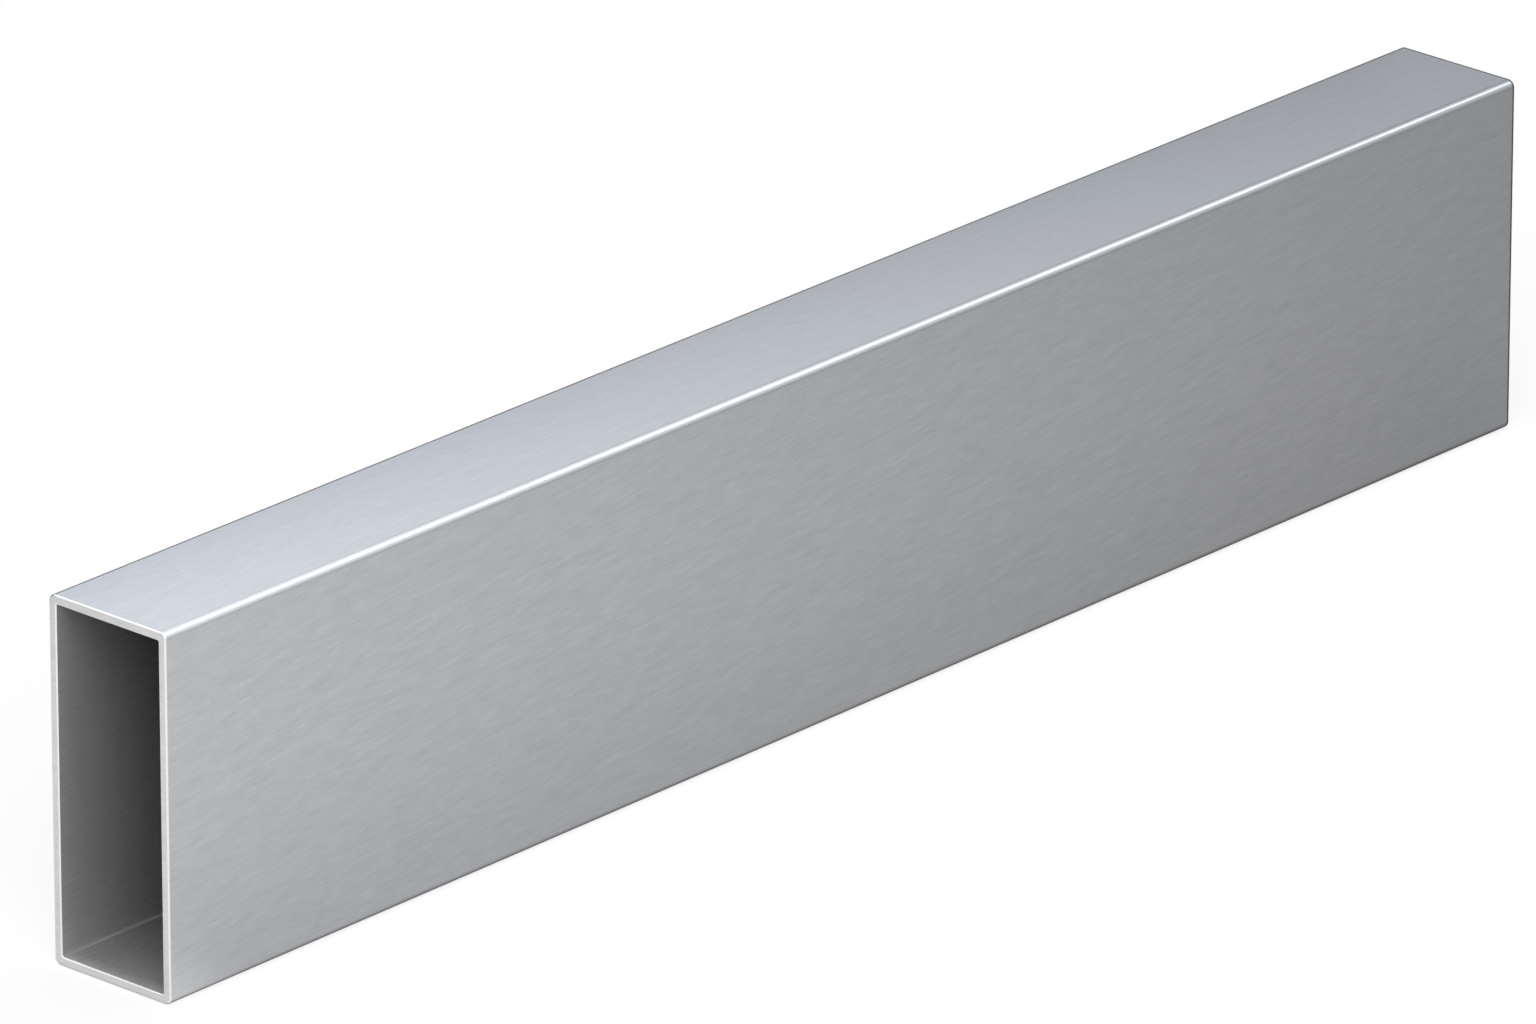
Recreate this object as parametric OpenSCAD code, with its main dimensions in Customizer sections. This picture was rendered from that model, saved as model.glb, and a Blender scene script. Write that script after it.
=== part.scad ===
// Aluminium post: one saw-cut length of extruded rectangular hollow section.
// It runs along X and rests on a narrow face, with the origin at the middle of that face.
// Sizes are in millimetres.

/* [Section] */
// Width of the section, over its two tall walls
section_w = 40; // [20:1:120]
// Height of the section, from the face that it rests on
section_h = 100; // [40:1:250]
// Thickness of the four walls
wall_t = 2.5; // [1.6:0.1:6]
// Radius of the four long edges outside
outer_r = 2; // [0.8:0.1:3]
// Radius of the four corners inside
inner_r = 0.5; // [0.3:0.1:3]

/* [Cut] */
// Length between the two saw cuts
post_len = 520; // [50:5:6000]
// Width of the edge that deburring leaves, inside and outside each cut
deburr = 0.4; // [0.1:0.05:0.5]

/* [Hidden] */
// Sides of a full circle
$fn = 64;
// How far the cavity's cutter runs past each cut
past_cut = 1;
// Size of the cavity
cavity_w = section_w - 2 * wall_t;
cavity_h = section_h - 2 * wall_t;
// Stations along a bar: each is [distance from the first cut, growth of the outline there]
outside_stations = [
    [0, -deburr],
    [deburr, 0],
    [post_len - deburr, 0],
    [post_len, -deburr]
];
cavity_stations = [
    [-past_cut, deburr],
    [0, deburr],
    [deburr, 0],
    [post_len - deburr, 0],
    [post_len, deburr],
    [post_len + past_cut, deburr]
];

// One side of a bar's outline: a point for each station, side * (half + growth) from the axis
function edge_points(stations, half, side) =
    [for (s = stations) [s.x, side * (half + s.y)]];

function reversed(points) =
    [for (i = [len(points) - 1:-1:0]) points[i]];

// The bar's outline seen square to its axis, 2 * half across where the growth is 0
module bar_outline(stations, half) {
    polygon(concat(
        edge_points(stations, half, 1),
        reversed(edge_points(stations, half, -1))
    ));
}

// One rounded long edge of a bar: a turned rod with the stations' growth in its radius
module corner_rod(stations, radius) {
    first = stations[0];
    last = stations[len(stations) - 1];
    rotate([0, 90, 0])
        rotate_extrude()
            polygon(concat(
                [[0, first.x]],
                [for (s = stations) [radius + s.y, s.x]],
                [[0, last.x]]
            ));
}

// A bar along X, w wide and h high, with long edges of one radius
module rounded_bar(stations, w, h, radius) {
    flat_w = w - 2 * radius;
    flat_h = h - 2 * radius;
    rotate([90, 0, 0])
        linear_extrude(flat_w, center = true)
            bar_outline(stations, h / 2);
    linear_extrude(flat_h, center = true)
        bar_outline(stations, w / 2);
    for (y = [-1, 1], z = [-1, 1])
        translate([0, y * flat_w / 2, z * flat_h / 2])
            corner_rod(stations, radius);
}

// The whole post: the outside less the cavity that runs right through it
module post() {
    color([0.78, 0.79, 0.80])
        translate([-post_len / 2, 0, section_h / 2])
            difference() {
                rounded_bar(outside_stations, section_w, section_h, outer_r);
                rounded_bar(cavity_stations, cavity_w, cavity_h, inner_r);
            }
}

post();
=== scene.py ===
import math

import bmesh
import bpy
from mathutils import Matrix, Vector


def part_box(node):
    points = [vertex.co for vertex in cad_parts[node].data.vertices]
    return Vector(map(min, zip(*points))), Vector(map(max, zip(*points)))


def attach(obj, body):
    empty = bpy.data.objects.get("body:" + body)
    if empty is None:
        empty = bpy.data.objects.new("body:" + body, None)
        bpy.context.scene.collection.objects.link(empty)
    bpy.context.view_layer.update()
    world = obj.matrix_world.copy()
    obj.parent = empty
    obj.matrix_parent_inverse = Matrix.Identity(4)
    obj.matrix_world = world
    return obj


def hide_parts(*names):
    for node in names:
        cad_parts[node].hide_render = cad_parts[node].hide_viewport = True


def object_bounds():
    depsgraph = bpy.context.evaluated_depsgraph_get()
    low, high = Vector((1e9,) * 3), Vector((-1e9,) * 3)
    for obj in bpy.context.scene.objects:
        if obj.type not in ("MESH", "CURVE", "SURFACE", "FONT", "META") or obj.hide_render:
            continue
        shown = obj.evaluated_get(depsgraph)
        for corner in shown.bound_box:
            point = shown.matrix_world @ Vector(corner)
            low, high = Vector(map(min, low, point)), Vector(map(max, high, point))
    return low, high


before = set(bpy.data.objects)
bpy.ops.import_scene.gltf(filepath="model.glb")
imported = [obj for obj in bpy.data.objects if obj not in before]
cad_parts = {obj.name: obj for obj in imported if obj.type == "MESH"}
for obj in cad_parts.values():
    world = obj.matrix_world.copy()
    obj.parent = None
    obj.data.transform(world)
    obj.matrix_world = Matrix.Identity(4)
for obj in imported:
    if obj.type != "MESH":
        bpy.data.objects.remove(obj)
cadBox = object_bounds()


class Wire:  # an output socket of a node tree, which ordinary arithmetic works on
    def __init__(self, tree, socket=None):
        self.tree = tree
        self.socket = socket

    # A node of any kind: its settings come first, then the values or links of its sockets
    def node(self, kind, settings=None, sockets=None, output=0):
        made = self.tree.nodes.new("ShaderNode" + kind)
        for name, value in (settings or {}).items():
            setattr(made, name, value)
        for name, value in (sockets or {}).items():
            if isinstance(value, Wire):
                self.tree.links.new(value.socket, made.inputs[name])
            else:
                made.inputs[name].default_value = value
        return Wire(self.tree, made.outputs[output] if made.outputs else None)

    # Another output of the node that this one comes from
    def output(self, name):
        return Wire(self.tree, self.socket.node.outputs[name])

    def calc(self, operation, first, second):
        return self.node("Math", {"operation": operation}, {0: first, 1: second})

    def power(self, exponent):
        return self.calc("POWER", self, exponent)

    def __add__(self, other):
        return self.calc("ADD", self, other)

    def __sub__(self, other):
        return self.calc("SUBTRACT", self, other)

    def __rsub__(self, other):
        return self.calc("SUBTRACT", other, self)

    def __mul__(self, other):
        return self.calc("MULTIPLY", self, other)

    __radd__ = __add__
    __rmul__ = __mul__


# A clear material or world, and a wire to start its nodes from
def emptyShader(owner):
    owner.use_nodes = True
    owner.node_tree.nodes.clear()
    return Wire(owner.node_tree)


# 0 at low and before it, 1 at high and past it; low may also be the greater of the two
def ramp(value, low, high, shape="LINEAR"):
    return value.node(
        "MapRange",
        {"interpolation_type": shape},
        {"Value": value, "From Min": low, "From Max": high},
    )


def mixColors(share, first, second):
    return share.node(
        "Mix",
        {"data_type": "RGBA"},
        {0: share, 6: first, 7: second},
        output=2,
    )


def scaleColor(color, factor):
    return factor.node("VectorMath", {"operation": "SCALE"}, {0: color, "Scale": factor})


# The length of an offset with these parts; of one part alone, its size without its sign
def lengthOf(*parts):
    return sum(part * part for part in parts).power(0.5)


# The finishes of the aluminium. Its colour lies between cold and warm, tiltY and tiltZ are
# the grain's slant in degrees about Y and Z, rimTint is how bright it stays at a glancing
# look, and the hollow's walls also give how dark their painted shade is deep inside and how
# bright their painted highlight is at the mouths, as the painted shading of the mouths says
finishes = {
    "brushedSide": {
        "cold": (0.600, 0.615, 0.638), "warm": (0.610, 0.615, 0.625),
        "roughness": 0.42, "tiltY": -4.8, "tiltZ": 0.0, "grain": 1.0,
    },
    "brushedNarrow": {
        "cold": (0.590, 0.605, 0.628), "warm": (0.600, 0.605, 0.615),
        "roughness": 0.42, "tiltY": 0.0, "tiltZ": 1.5, "grain": 1.0,
    },
    "roundedEdge": {
        "cold": (0.612, 0.622, 0.637), "warm": (0.617, 0.622, 0.627),
        "roughness": 0.32, "tiltY": 0.0, "tiltZ": 0.0, "grain": 0.6, "rimTint": 0.05,
    },
    "hollowSide": {
        "cold": (0.432, 0.430, 0.425), "warm": (0.437, 0.430, 0.421),
        "roughness": 0.64, "tiltY": -4.8, "tiltZ": 0.0, "grain": 1.9, "deepShade": 0.84, "lipHighlight": 0.10,
    },
    "hollowNarrow": {
        "cold": (0.420, 0.420, 0.422), "warm": (0.425, 0.420, 0.415),
        "roughness": 0.60, "tiltY": 0.0, "tiltZ": 2.6, "grain": 1.9, "deepShade": 0.66, "lipHighlight": 0.36,
    },
    # A painted highlight: the hollow's corner fillets are far paler than its walls, for a light
    # line along its corners
    "hollowCornerHighlight": {
        "cold": (0.78, 0.775, 0.77), "warm": (0.78, 0.775, 0.77),
        "roughness": 0.50, "tiltY": 0.0, "tiltZ": 0.0, "grain": 1.0,
    },
    "sawnEnd": {
        "cold": (0.655, 0.655, 0.660), "warm": (0.665, 0.660, 0.655),
        "roughness": 0.45, "tiltY": 0.0, "tiltZ": 0.0, "grain": 1.0,
    },
    "deburredEdge": {
        "cold": (0.86, 0.86, 0.85), "warm": (0.87, 0.86, 0.84),
        "roughness": 0.30, "tiltY": 0.0, "tiltZ": 0.0, "grain": 0.5, "rimTint": 0.05,
    },
}
outerFinishes = ("brushedSide", "brushedNarrow", "roundedEdge", "deburredEdge")

# Grain bands, from fine scratches to broad streaks and faint patches: length and width in
# metres, and share of the colour
grainBands = {
    "fine": {"length": 0.0050, "width": 0.00045, "strength": 0.260},
    "middle": {"length": 0.0120, "width": 0.0011, "strength": 0.120},
    "broad": {"length": 0.0260, "width": 0.0034, "strength": 0.110},
    "patch": {"length": 0.0080, "width": 0.0065, "strength": 0.085},
}

# How the grain shows, and the clouds of the cold and the warm colour
brushing = {
    "detail": 2.0, "raggedness": 0.6,  # of each band's noise
    "roughnessByGrain": -0.4,  # a pale streak is smoother
    "scratchDepth": 0.00002,
    "cloudSize": 0.11, "cloudDetail": 1.0, "coldTo": 0.35, "warmFrom": 0.65,
    "cloudByGrain": 0.3,  # how far the grain frays the clouds
}

# A thin dark line painted round the far end's outer faces, painted shade that draws the dark
# outline of its far edges: where it starts and stops, in metres from the cut, how softly, and
# how dark it is
farEdgePaintedShade = {"from": 0.0010, "to": 0.0002, "soft": 0.0002, "depth": 0.75}

# Painted shade and light in the hollow: paler just inside its mouths, darker deeper in by as
# much as its finish gives, and a painted highlight over the last millimetres of each mouth
mouthPaintedShading = {"reach": 0.036, "atCut": 1.12, "lipReach": 0.005}


# One band of the grain, from about -0.5 to 0.5: along the post, or along Y on a sawn end
def grainWave(place, look, band, lengthwise):
    long, wide = band["length"], band["width"]
    turned = place.node(
        "Mapping",
        {"vector_type": "TEXTURE"},
        {
            "Vector": place,
            "Rotation": (0, math.radians(look["tiltY"]), math.radians(look["tiltZ"])),
            "Scale": (long, wide, wide) if lengthwise else (wide, long, wide),
        },
    )
    noise = {
        "Vector": turned,
        "Scale": 1.0,
        "Detail": brushing["detail"],
        "Roughness": brushing["raggedness"],
    }
    return turned.node("TexNoise", {}, noise) - 0.5


# Painted shade: a thin dark band on the outer faces just short of the far cut
def withFarEdgePaintedShade(tone, place):
    x = place.node("SeparateXYZ", {}, {"Vector": place})
    begins, ends = cadBox[1].x - farEdgePaintedShade["from"], cadBox[1].x - farEdgePaintedShade["to"]
    line = ramp(x, begins, begins + farEdgePaintedShade["soft"]) * ramp(x, ends + farEdgePaintedShade["soft"], ends)
    return tone * (1 - line * farEdgePaintedShade["depth"])


# Painted shade deeper in the hollow, painted light just inside its mouths, and a painted
# highlight on their last millimetres
def withMouthPaintedShading(tone, place, look):
    fromMiddle = lengthOf(place.node("SeparateXYZ", {}, {"Vector": place}))
    cut = cadBox[1].x
    mouth = ramp(fromMiddle, cut - mouthPaintedShading["reach"], cut)
    lipHighlight = ramp(fromMiddle, cut - mouthPaintedShading["lipReach"], cut)
    tone = tone * (mouth * (mouthPaintedShading["atCut"] - look["deepShade"]) + look["deepShade"])
    return tone * (lipHighlight * look["lipHighlight"] + 1)


def aluminium(name):
    look = finishes[name]
    material = bpy.data.materials.new(name)
    start = emptyShader(material)
    place = start.node("TexCoord", output="Object")
    waves = {
        band: grainWave(place, look, values, name != "sawnEnd")
        for band, values in grainBands.items()
    }
    streaks = sum(waves[band] * values["strength"] for band, values in grainBands.items())
    grain = streaks * look["grain"]
    tone = grain + 1
    if name in outerFinishes:
        tone = withFarEdgePaintedShade(tone, place)
    if "deepShade" in look:
        tone = withMouthPaintedShading(tone, place, look)
    clouds = {
        "Vector": place, "Scale": 1 / brushing["cloudSize"], "Detail": brushing["cloudDetail"],
    }
    cloud = place.node("TexNoise", {}, clouds)
    share = cloud + (waves["fine"] + waves["middle"]) * brushing["cloudByGrain"]
    share = ramp(share, brushing["coldTo"], brushing["warmFrom"])
    hue = mixColors(share, (*look["cold"], 1), (*look["warm"], 1))
    scratches = {"Strength": 1.0, "Distance": brushing["scratchDepth"], "Height": waves["fine"]}
    bump = grain.node("Bump", {}, scratches)
    shine = start.node(
        "BsdfPrincipled",
        {},
        {
            "Base Color": scaleColor(hue, tone),
            "Metallic": 1.0,
            "Specular Tint": (*[look.get("rimTint", 1.0)] * 3, 1),
            "Roughness": grain * brushing["roughnessByGrain"] + look["roughness"],
            "Normal": bump,
        },
    )
    start.node("OutputMaterial", {}, {"Surface": shine})
    return material


# The post's own sizes in metres; its length, width and height come from its part in model.glb
postShape = {
    "wall": 0.0025,
    "outerRadius": 0.002,
    "hollowRadius": 0.0005,
    "deburr": 0.0004,
    "cornerSteps": 12,
    "deburrSteps": 3,  # smooth shading makes them one soft edge
}

# How the mesh's parts are told apart: by the share of a face's normal along an axis, and by
# sizes in metres
partLimits = {
    "endFace": 0.9,  # the ends, before they are deburred
    "sawn": 0.99,  # the ring that is left of them
    "slanted": 0.02,  # what isn't square to an axis
    "longEdge": 0.001,
    "hollowMargin": 0.00001,
}


# The long edges of a bar, those that run along X
def longEdges(bm):
    least = partLimits["longEdge"]
    return [e for e in bm.edges if abs(e.verts[0].co.x - e.verts[1].co.x) > least]


# A rounded bar along X without its end faces: box is (lowest corner, highest corner)
def openBar(box, radius, steps):
    low, high = box
    bm = bmesh.new()
    size = high - low
    bmesh.ops.create_cube(
        bm, size=1, matrix=Matrix.Translation((low + high) / 2) @ Matrix.Diagonal((*size, 1))
    )
    bmesh.ops.bevel(
        bm, geom=longEdges(bm), affect="EDGES", offset=radius, offset_type="OFFSET",
        segments=steps, profile=0.5, material=-1, clamp_overlap=False,
    )
    bm.normal_update()
    ends = [f for f in bm.faces if abs(f.normal.x) > partLimits["endFace"]]
    bmesh.ops.delete(bm, geom=ends, context="FACES_ONLY")
    return bm


def addBar(bm, bar):
    mesh = bpy.data.meshes.new("bar")
    bar.to_mesh(mesh)
    bar.free()
    bm.from_mesh(mesh)
    bpy.data.meshes.remove(mesh)


# The rims: edges where a cut face meets the outside or the hollow
def rimEdges(bm):
    bm.normal_update()
    return [
        e for e in bm.edges
        if sorted(abs(f.normal.x) > partLimits["endFace"] for f in e.link_faces) == [False, True]
    ]


def finishOf(face, hollow):
    low, high = hollow
    spot = face.calc_center_median()
    along, across, upward = (abs(part) for part in face.normal)
    margin = partLimits["hollowMargin"]
    if along > partLimits["sawn"]:
        return "sawnEnd"
    if along > partLimits["slanted"]:
        return "deburredEdge"
    if low.y - margin < spot.y < high.y + margin and low.z - margin < spot.z < high.z + margin:
        if min(across, upward) > partLimits["slanted"]:
            return "hollowCornerHighlight"
        return "hollowSide" if across > upward else "hollowNarrow"
    if min(across, upward) > partLimits["slanted"]:
        return "roundedEdge"
    return "brushedSide" if across > upward else "brushedNarrow"


def buildPost():
    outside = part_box("post")
    inset = Vector((0, postShape["wall"], postShape["wall"]))
    spare = Vector((postShape["wall"], 0, 0))
    hollow = (outside[0] + inset - spare, outside[1] - inset + spare)
    steps = postShape["cornerSteps"]
    bm = bmesh.new()
    addBar(bm, openBar(outside, postShape["outerRadius"], steps))
    addBar(bm, openBar(hollow, postShape["hollowRadius"], steps))
    # The hollow starts a little too long, so that each bridge has a direction, and is then
    # pushed home
    for side in (-1, 1):
        rims = [e for e in bm.edges if e.is_boundary and e.verts[0].co.x * side > 0]
        bmesh.ops.bridge_loops(bm, edges=rims)
        far = [v for v in bm.verts if v.co.x * side > outside[1].x + spare.x / 2]
        bmesh.ops.translate(bm, verts=far, vec=spare * -side)
    bmesh.ops.recalc_face_normals(bm, faces=bm.faces)
    bmesh.ops.bevel(
        bm, geom=rimEdges(bm), affect="EDGES", offset=postShape["deburr"],
        offset_type="OFFSET", segments=postShape["deburrSteps"], profile=0.5,
        material=-1, clamp_overlap=False,
    )
    bmesh.ops.recalc_face_normals(bm, faces=bm.faces)
    bm.normal_update()
    names = list(finishes)
    for face in bm.faces:
        face.smooth = True
        face.material_index = names.index(finishOf(face, hollow))
    mesh = bpy.data.meshes.new("brushedPost")
    bm.to_mesh(mesh)
    bm.free()
    for name in names:
        mesh.materials.append(aluminium(name))
    post = bpy.data.objects.new("brushedPost", mesh)
    bpy.context.scene.collection.objects.link(post)
    flatten = post.modifiers.new("flatFaces", "WEIGHTED_NORMAL")
    flatten.mode = "FACE_AREA"
    flatten.weight = 100  # the flat faces keep their own direction
    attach(post, "root")
    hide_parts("post")
    print("post", len(mesh.vertices), "vertices", len(mesh.polygons), "faces")


buildPost()

# The studio: everything below is stage, and none of it is part of the post
studio = {
    "floorSize": 60.0,
    "floorGap": 0.0002,
    "floorColor": 0.22,  # what the lamps light; the rest of its white is its own
    "skyLight": 0.60,
    "keyFrom": (-0.55, -0.50, 0.67),
    "keyAngle": 40.0,
    "keyPower": 1.9,
}

# The light tent that the metal mirrors: a half tunnel along X, brighter at its near end,
# which is at -X. Sizes are in metres, and levels are 1 for white
tent = {
    "radius": 0.60, "from": -0.9, "to": 1.8, "sides": 96,
    "endLevel": 0.24,  # the wall that closes its near end
    "nearX": -0.45, "farX": 0.42, "lean": 1.4,  # where near turns into far
    "nearLevel": 1.10, "farLevel": 0.357,  # the bed, which the side mirrors
    "riseHeight": 0.25,  # where the bed has become the roof
    "roofNear": 1.60, "roofFar": 0.20, "roofCurve": 0.45,  # the roof, which the top mirrors
    "nearTint": (0.958, 1.0, 1.064), "farTint": (0.980, 1.0, 1.028),
    "frontNear": 1.32, "frontFar": 0.50, "frontFrom": 0.40, "frontTo": -0.25,
    # A strip light, which makes the pale ridge of the near long edge
    "stripY": -0.19, "stripZ": 0.569, "stripSoft": 0.10, "stripCore": 0.015,
    "stripLevel": 2.5, "stripFade": 0.15,
    # A pool of light on the bed, round and past the far mouth
    "poolX": 0.37, "poolY": 0.07, "poolWide": 0.16, "poolCore": 0.06, "poolLevel": 0.55,
    # The post's shade on the bed: wide at its sides, behind it, in the crevice round its
    # foot, and right under the near cut
    "contactWide": 0.155, "contactDeep": 0.355, "cutSoft": 0.03,
    "behindWide": 0.09, "behindDeep": 0.12,
    "creviceWide": 0.0009, "creviceDeep": 0.27, "footInset": 0.0006,
    "underWide": 0.001, "underDeep": 0.40,
    # The bed's dark far edge, which draws the top's back edge
    "edgeFrom": 0.26, "edgeTo": 0.36, "edgeDeep": 0.45,
}

# A dark strip close behind the post, which draws the top's back edge
flag = {"y": 0.080, "low": 0.100, "high": 0.138, "past": 0.06, "level": 0.05}


def stagePiece(name, bm, material):
    mesh = bpy.data.meshes.new(name)
    bm.to_mesh(mesh)
    bm.free()
    mesh.materials.append(material)
    piece = bpy.data.objects.new(name, mesh)
    bpy.context.scene.collection.objects.link(piece)
    return piece


# 1 for rays from the camera and for what gloss and glass show, 0 for the light itself
def seenDirectly(start):
    camera = start.node("LightPath", output="Is Camera Ray")
    mirrored = camera.calc("MAXIMUM", camera, camera.output("Is Glossy Ray"))
    return camera.calc("MAXIMUM", mirrored, camera.output("Is Transmission Ray"))


def buildFloor():
    material = bpy.data.materials.new("whiteFloor")
    start = emptyShader(material)
    tone = studio["floorColor"]
    matt = start.node("BsdfDiffuse", {}, {"Color": (tone, tone, tone, 1)})
    own = start.node("Emission", {}, {"Strength": seenDirectly(start) * (1 - tone)})
    both = start.node("AddShader", {}, {0: matt, 1: own})
    start.node("OutputMaterial", {}, {"Surface": both})
    bm = bmesh.new()
    lowered = Matrix.Translation((0, 0, -studio["floorGap"]))
    bmesh.ops.create_grid(
        bm, x_segments=1, y_segments=1, size=studio["floorSize"] / 2, matrix=lowered
    )
    stagePiece("floor", bm, material)
    print("floor")


def buildSky():
    world = bpy.data.worlds.new("studioSky")
    bpy.context.scene.world = world
    start = emptyShader(world)
    level = studio["skyLight"]
    strength = seenDirectly(start) * (1 - level) + level
    light = start.node("Background", {}, {"Color": (1, 1, 1, 1), "Strength": strength})
    start.node("OutputWorld", {}, {"Surface": light})
    print("sky")


def buildKey():
    lamp = bpy.data.lights.new("key", "SUN")
    lamp.energy = studio["keyPower"]
    lamp.angle = math.radians(studio["keyAngle"])
    key = bpy.data.objects.new("key", lamp)
    key.rotation_mode = "QUATERNION"
    key.rotation_quaternion = Vector(studio["keyFrom"]).to_track_quat("Z", "Y")
    bpy.context.scene.collection.objects.link(key)
    print("key lamp")


# A glow that is only looked at, and never sampled as a lamp
def glowing(name):
    material = bpy.data.materials.new(name)
    material.cycles.emission_sampling = "NONE"
    return material


def evenGlow(name, level):
    material = glowing(name)
    start = emptyShader(material)
    light = start.node("Emission", {}, {"Strength": level})
    start.node("OutputMaterial", {}, {"Surface": light})
    return material


# How far a value lies outside the stretch from -half to half, and 0 inside it
def beyond(value, half):
    size = lengthOf(value)
    return size.calc("MAXIMUM", size - half, 0)


# What the post and the far edge leave of the bed's light, from 1 down
def bedShade(x, y):
    low, high = cadBox
    soft = tent["cutSoft"]
    footX = beyond(x, high.x - tent["footInset"])
    footY = beyond(y, high.y - tent["footInset"])
    beside = ramp(footY, tent["contactWide"], 0, "SMOOTHSTEP") * ramp(x, low.x, low.x + soft)
    # The dark line along the foot
    crevice = ramp(lengthOf(footX, footY), tent["creviceWide"], 0, "SMOOTHSTEP")
    shade = 1 - (beside * tent["contactDeep"] + crevice * tent["creviceDeep"])
    behind = ramp(y, high.y, high.y + tent["behindWide"], "SMOOTHSTEP")
    behind = behind * ramp(x, low.x - soft, low.x + soft)
    shade = shade * (1 - behind * tent["behindDeep"])
    # The dark line below the near cut's ring
    fromCut, wide = x - low.x, tent["underWide"]
    under = ramp(footY, wide, 0) * ramp(fromCut * fromCut, wide * wide, 0)
    shade = shade * (1 - under * tent["underDeep"])
    edge = ramp(y, tent["edgeFrom"], tent["edgeTo"], "SMOOTHSTEP")
    return shade * (1 - edge * tent["edgeDeep"])


def tentCloth():
    material = glowing("tentCloth")
    start = emptyShader(material)
    place = start.node("TexCoord", output="Object")
    x = place.node("SeparateXYZ", {}, {"Vector": place})
    y, z = x.output("Y"), x.output("Z")
    along = ramp(x - z * tent["lean"], tent["nearX"], tent["farX"])
    bed = along * (tent["farLevel"] - tent["nearLevel"]) + tent["nearLevel"]
    fromPool = lengthOf(x - tent["poolX"], y - tent["poolY"])
    pool = ramp(fromPool, tent["poolWide"], tent["poolCore"], "SMOOTHSTEP")
    bed = bed + pool * tent["poolLevel"]
    # The roof has other levels at the front, over the side that the photograph shows
    curved = along.power(tent["roofCurve"])
    roof = curved * (tent["roofFar"] - tent["roofNear"]) + tent["roofNear"]
    front = along * (tent["frontFar"] - tent["frontNear"]) + tent["frontNear"]
    atFront = ramp(y, tent["frontFrom"], tent["frontTo"], "SMOOTHSTEP")
    roof = roof + atFront * (front - roof)
    height = ramp(z, 0, tent["riseHeight"], "SMOOTHSTEP")
    level = bed + height * (roof - bed)
    fromStrip = lengthOf(y - tent["stripY"], z - tent["stripZ"])
    strip = ramp(fromStrip, tent["stripSoft"], tent["stripCore"], "SMOOTHSTEP")
    strip = strip * tent["stripLevel"] * (1 - along * tent["stripFade"])
    shade = bedShade(x, y)
    glow = level * (strip + 1) * (shade + height * (1 - shade))
    roofTint = mixColors(along, (*tent["nearTint"], 1), (*tent["farTint"], 1))
    tint = mixColors(height, (1, 1, 1, 1), roofTint)
    light = start.node("Emission", {}, {"Color": scaleColor(tint, glow), "Strength": 1.0})
    start.node("OutputMaterial", {}, {"Surface": light})
    return material


# Seen only where the metal mirrors it: it is hidden from the camera and from matt surfaces,
# and it throws no shadow
def mirroredOnly(piece):
    piece.visible_camera = False
    piece.visible_diffuse = False
    piece.visible_transmission = False
    piece.visible_volume_scatter = False
    piece.visible_shadow = False


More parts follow.
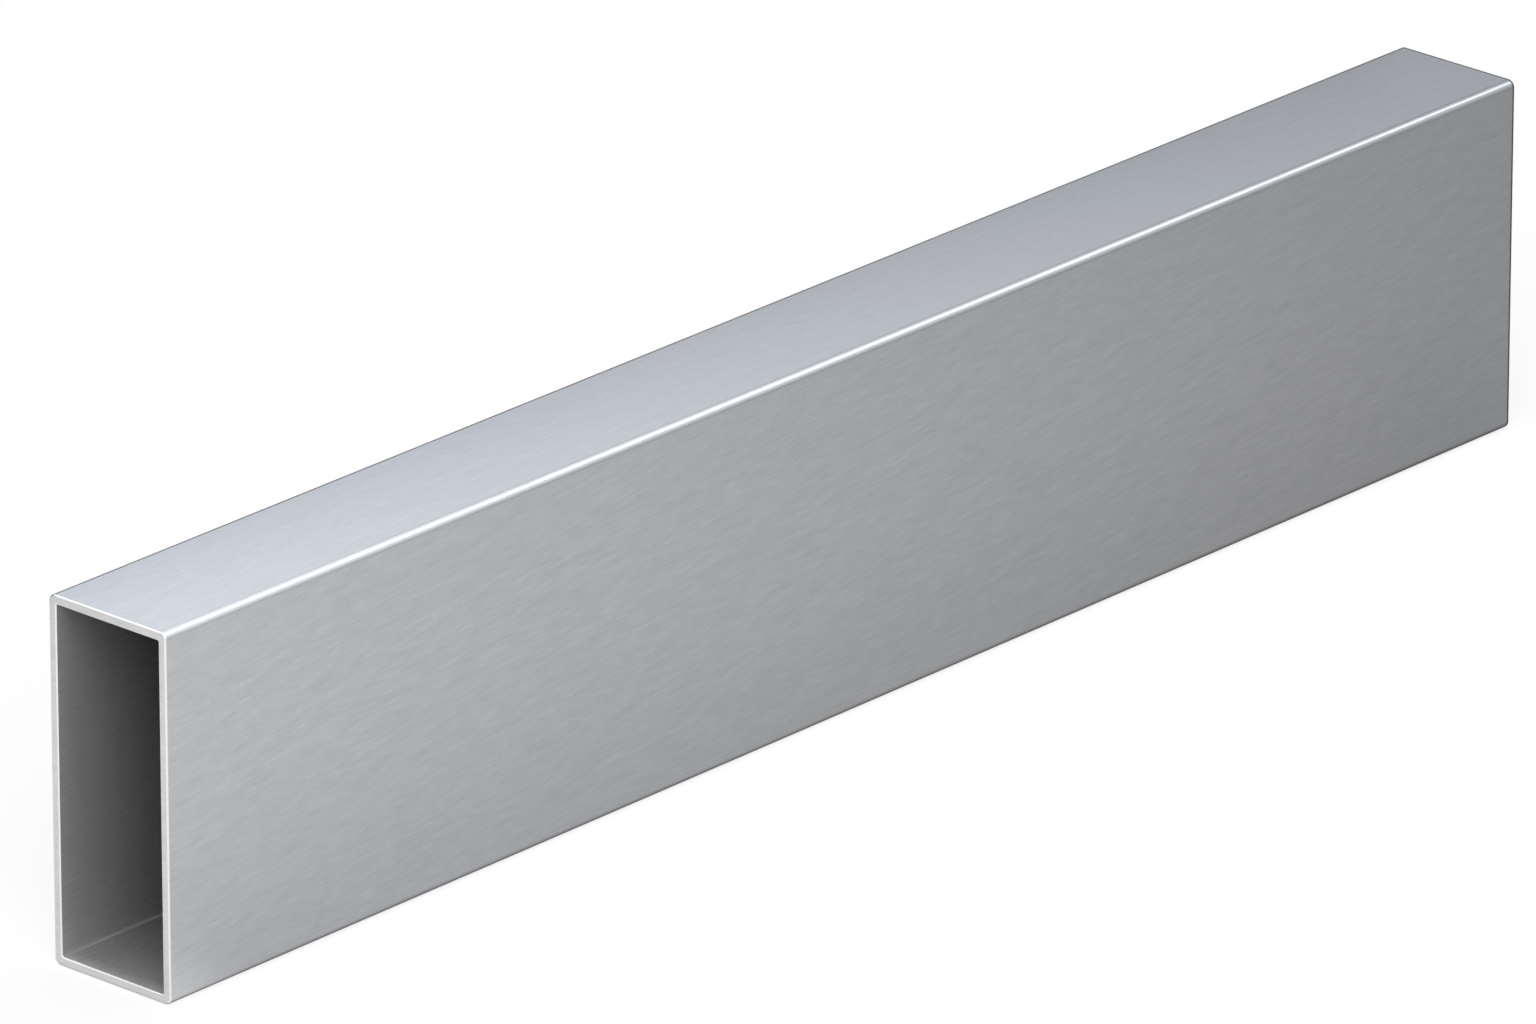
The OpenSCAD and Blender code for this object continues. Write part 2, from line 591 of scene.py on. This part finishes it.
def buildTent():
    cloth = tentCloth()
    reach = tent["to"] - tent["from"]
    middle = (tent["to"] + tent["from"]) / 2
    bm = bmesh.new()
    upright = Matrix.Translation((tent["from"], 0, 0)) @ Matrix.Rotation(math.pi / 2, 4, "Y")
    bmesh.ops.create_circle(bm, segments=tent["sides"], radius=tent["radius"], matrix=upright)
    swept = bmesh.ops.extrude_edge_only(bm, edges=bm.edges)
    ahead = [g for g in swept["geom"] if isinstance(g, bmesh.types.BMVert)]
    bmesh.ops.translate(bm, verts=ahead, vec=(reach, 0, 0))
    bmesh.ops.bisect_plane(
        bm, geom=[*bm.verts, *bm.edges, *bm.faces], plane_co=(0, 0, 0),
        plane_no=(0, 0, 1), clear_inner=True,
    )
    mirroredOnly(stagePiece("tentRoof", bm, cloth))
    bm = bmesh.new()
    bmesh.ops.create_circle(
        bm, cap_ends=True, segments=tent["sides"], radius=tent["radius"], matrix=upright
    )
    mirroredOnly(stagePiece("tentEnd", bm, evenGlow("tentEnd", tent["endLevel"])))
    bm = bmesh.new()
    bed = Matrix.Translation((middle, 0, -studio["floorGap"] / 2)) @ Matrix.Diagonal(
        (reach, 2 * tent["radius"], 1, 1)
    )
    bmesh.ops.create_grid(bm, x_segments=1, y_segments=1, size=0.5, matrix=bed)
    mirroredOnly(stagePiece("tentBed", bm, cloth))
    print("light tent")


def buildFlag():
    length = cadBox[1].x - cadBox[0].x + 2 * flag["past"]
    upright = Matrix.Translation((0, flag["y"], (flag["low"] + flag["high"]) / 2))
    sized = Matrix.Diagonal((length, 1, flag["high"] - flag["low"], 1))
    bm = bmesh.new()
    bmesh.ops.create_grid(
        bm, x_segments=1, y_segments=1, size=0.5,
        matrix=upright @ sized @ Matrix.Rotation(math.pi / 2, 4, "X"),
    )
    mirroredOnly(stagePiece("flag", bm, evenGlow("flag", flag["level"])))
    print("flag")


# The photograph's viewpoint, from where the post's corners lie in its 1536 x 1024 frame:
# degrees, metres and, for the lens and its sensor, millimetres
cameraView = {
    "heading": 41.982,
    "descent": 22.087,
    "distance": 4.3508,
    "right": -0.01080,
    "up": -0.00131,
    "lens": 394.62,
    "sensor": 36.0,
}


def buildCamera():
    turn, dip = math.radians(cameraView["heading"]), math.radians(cameraView["descent"])
    level = math.cos(dip)
    ahead = Vector((math.cos(turn) * level, math.sin(turn) * level, -math.sin(dip)))
    right = Vector((math.sin(turn), -math.cos(turn), 0))
    up = right.cross(ahead)
    low, high = cadBox
    lens = bpy.data.cameras.new("photoCamera")
    lens.sensor_width = cameraView["sensor"]
    lens.lens = cameraView["lens"]
    camera = bpy.data.objects.new("photoCamera", lens)
    camera.location = (
        (low + high) / 2 - ahead * cameraView["distance"]
        + right * cameraView["right"] + up * cameraView["up"]
    )
    camera.rotation_mode = "QUATERNION"
    camera.rotation_quaternion = ahead.to_track_quat("-Z", "Y")
    bpy.context.scene.collection.objects.link(camera)
    bpy.context.scene.camera = camera
    print("camera")


buildFloor()
buildSky()
buildKey()
buildTent()
buildFlag()
buildCamera()
bpy.context.scene.view_settings.view_transform = "Standard"
